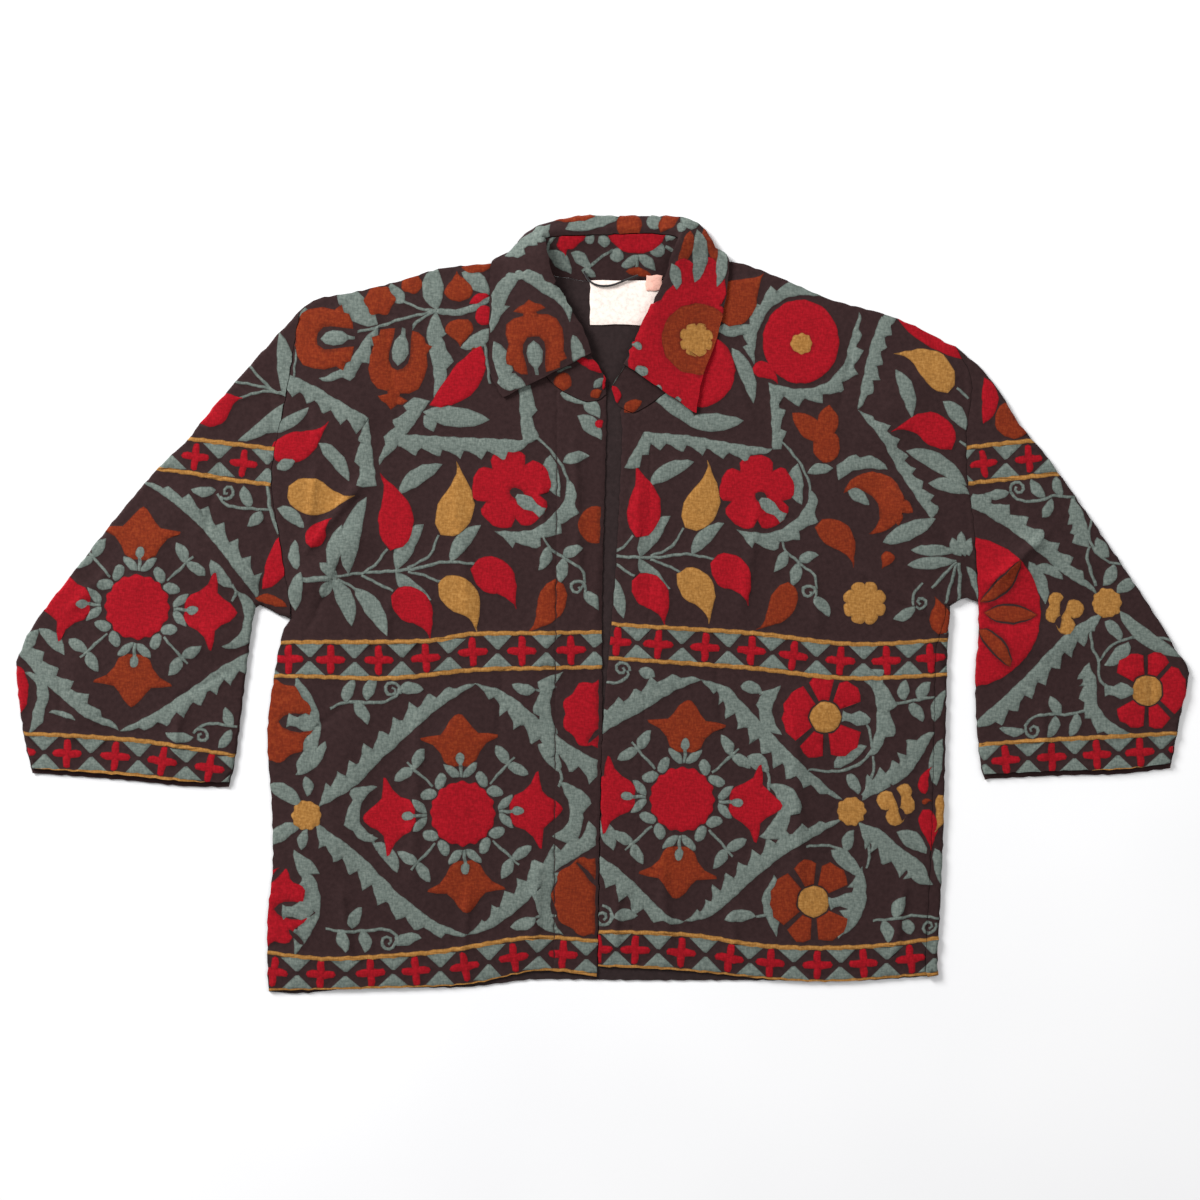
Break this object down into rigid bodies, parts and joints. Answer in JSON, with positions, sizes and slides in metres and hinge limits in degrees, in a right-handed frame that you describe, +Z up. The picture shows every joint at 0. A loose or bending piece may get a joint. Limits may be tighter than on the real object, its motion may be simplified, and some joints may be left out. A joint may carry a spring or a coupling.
{
  "type": "embroidered short jacket",
  "caption": "Short boxy open jacket with wide sleeves and a turned-down collar, laid flat on its back, covered in chain-stitch flowers.",
  "frame": {"origin": "on the surface that the jacket lies on, under the middle of its box", "axes": "+Z up out of the front of the jacket, +X towards the wearer's left sleeve, +Y from the hem towards the collar"},
  "size_m": [1.0303, 0.6847, 0.0165],
  "materials": {
    "embroidered_cloth": "matt cotton with chain stitch",
    "lining_cloth": "smooth lining cloth",
    "label_tape": "woven tape, bare",
    "tab_tape": "woven tape, bare",
    "loop_cord": "thin round cord"
  },
  "bodies": {
    "root": {"back": "embroidered_cloth", "lining": "lining_cloth", "front_right": "embroidered_cloth", "front_left": "embroidered_cloth", "sleeve_right": "embroidered_cloth", "sleeve_left": "embroidered_cloth", "collar_stand": "embroidered_cloth", "collar_leaf": "embroidered_cloth", "label": "label_tape", "size_tab": "tab_tape", "hanging_loop": "loop_cord"}
  },
  "joints": []
}
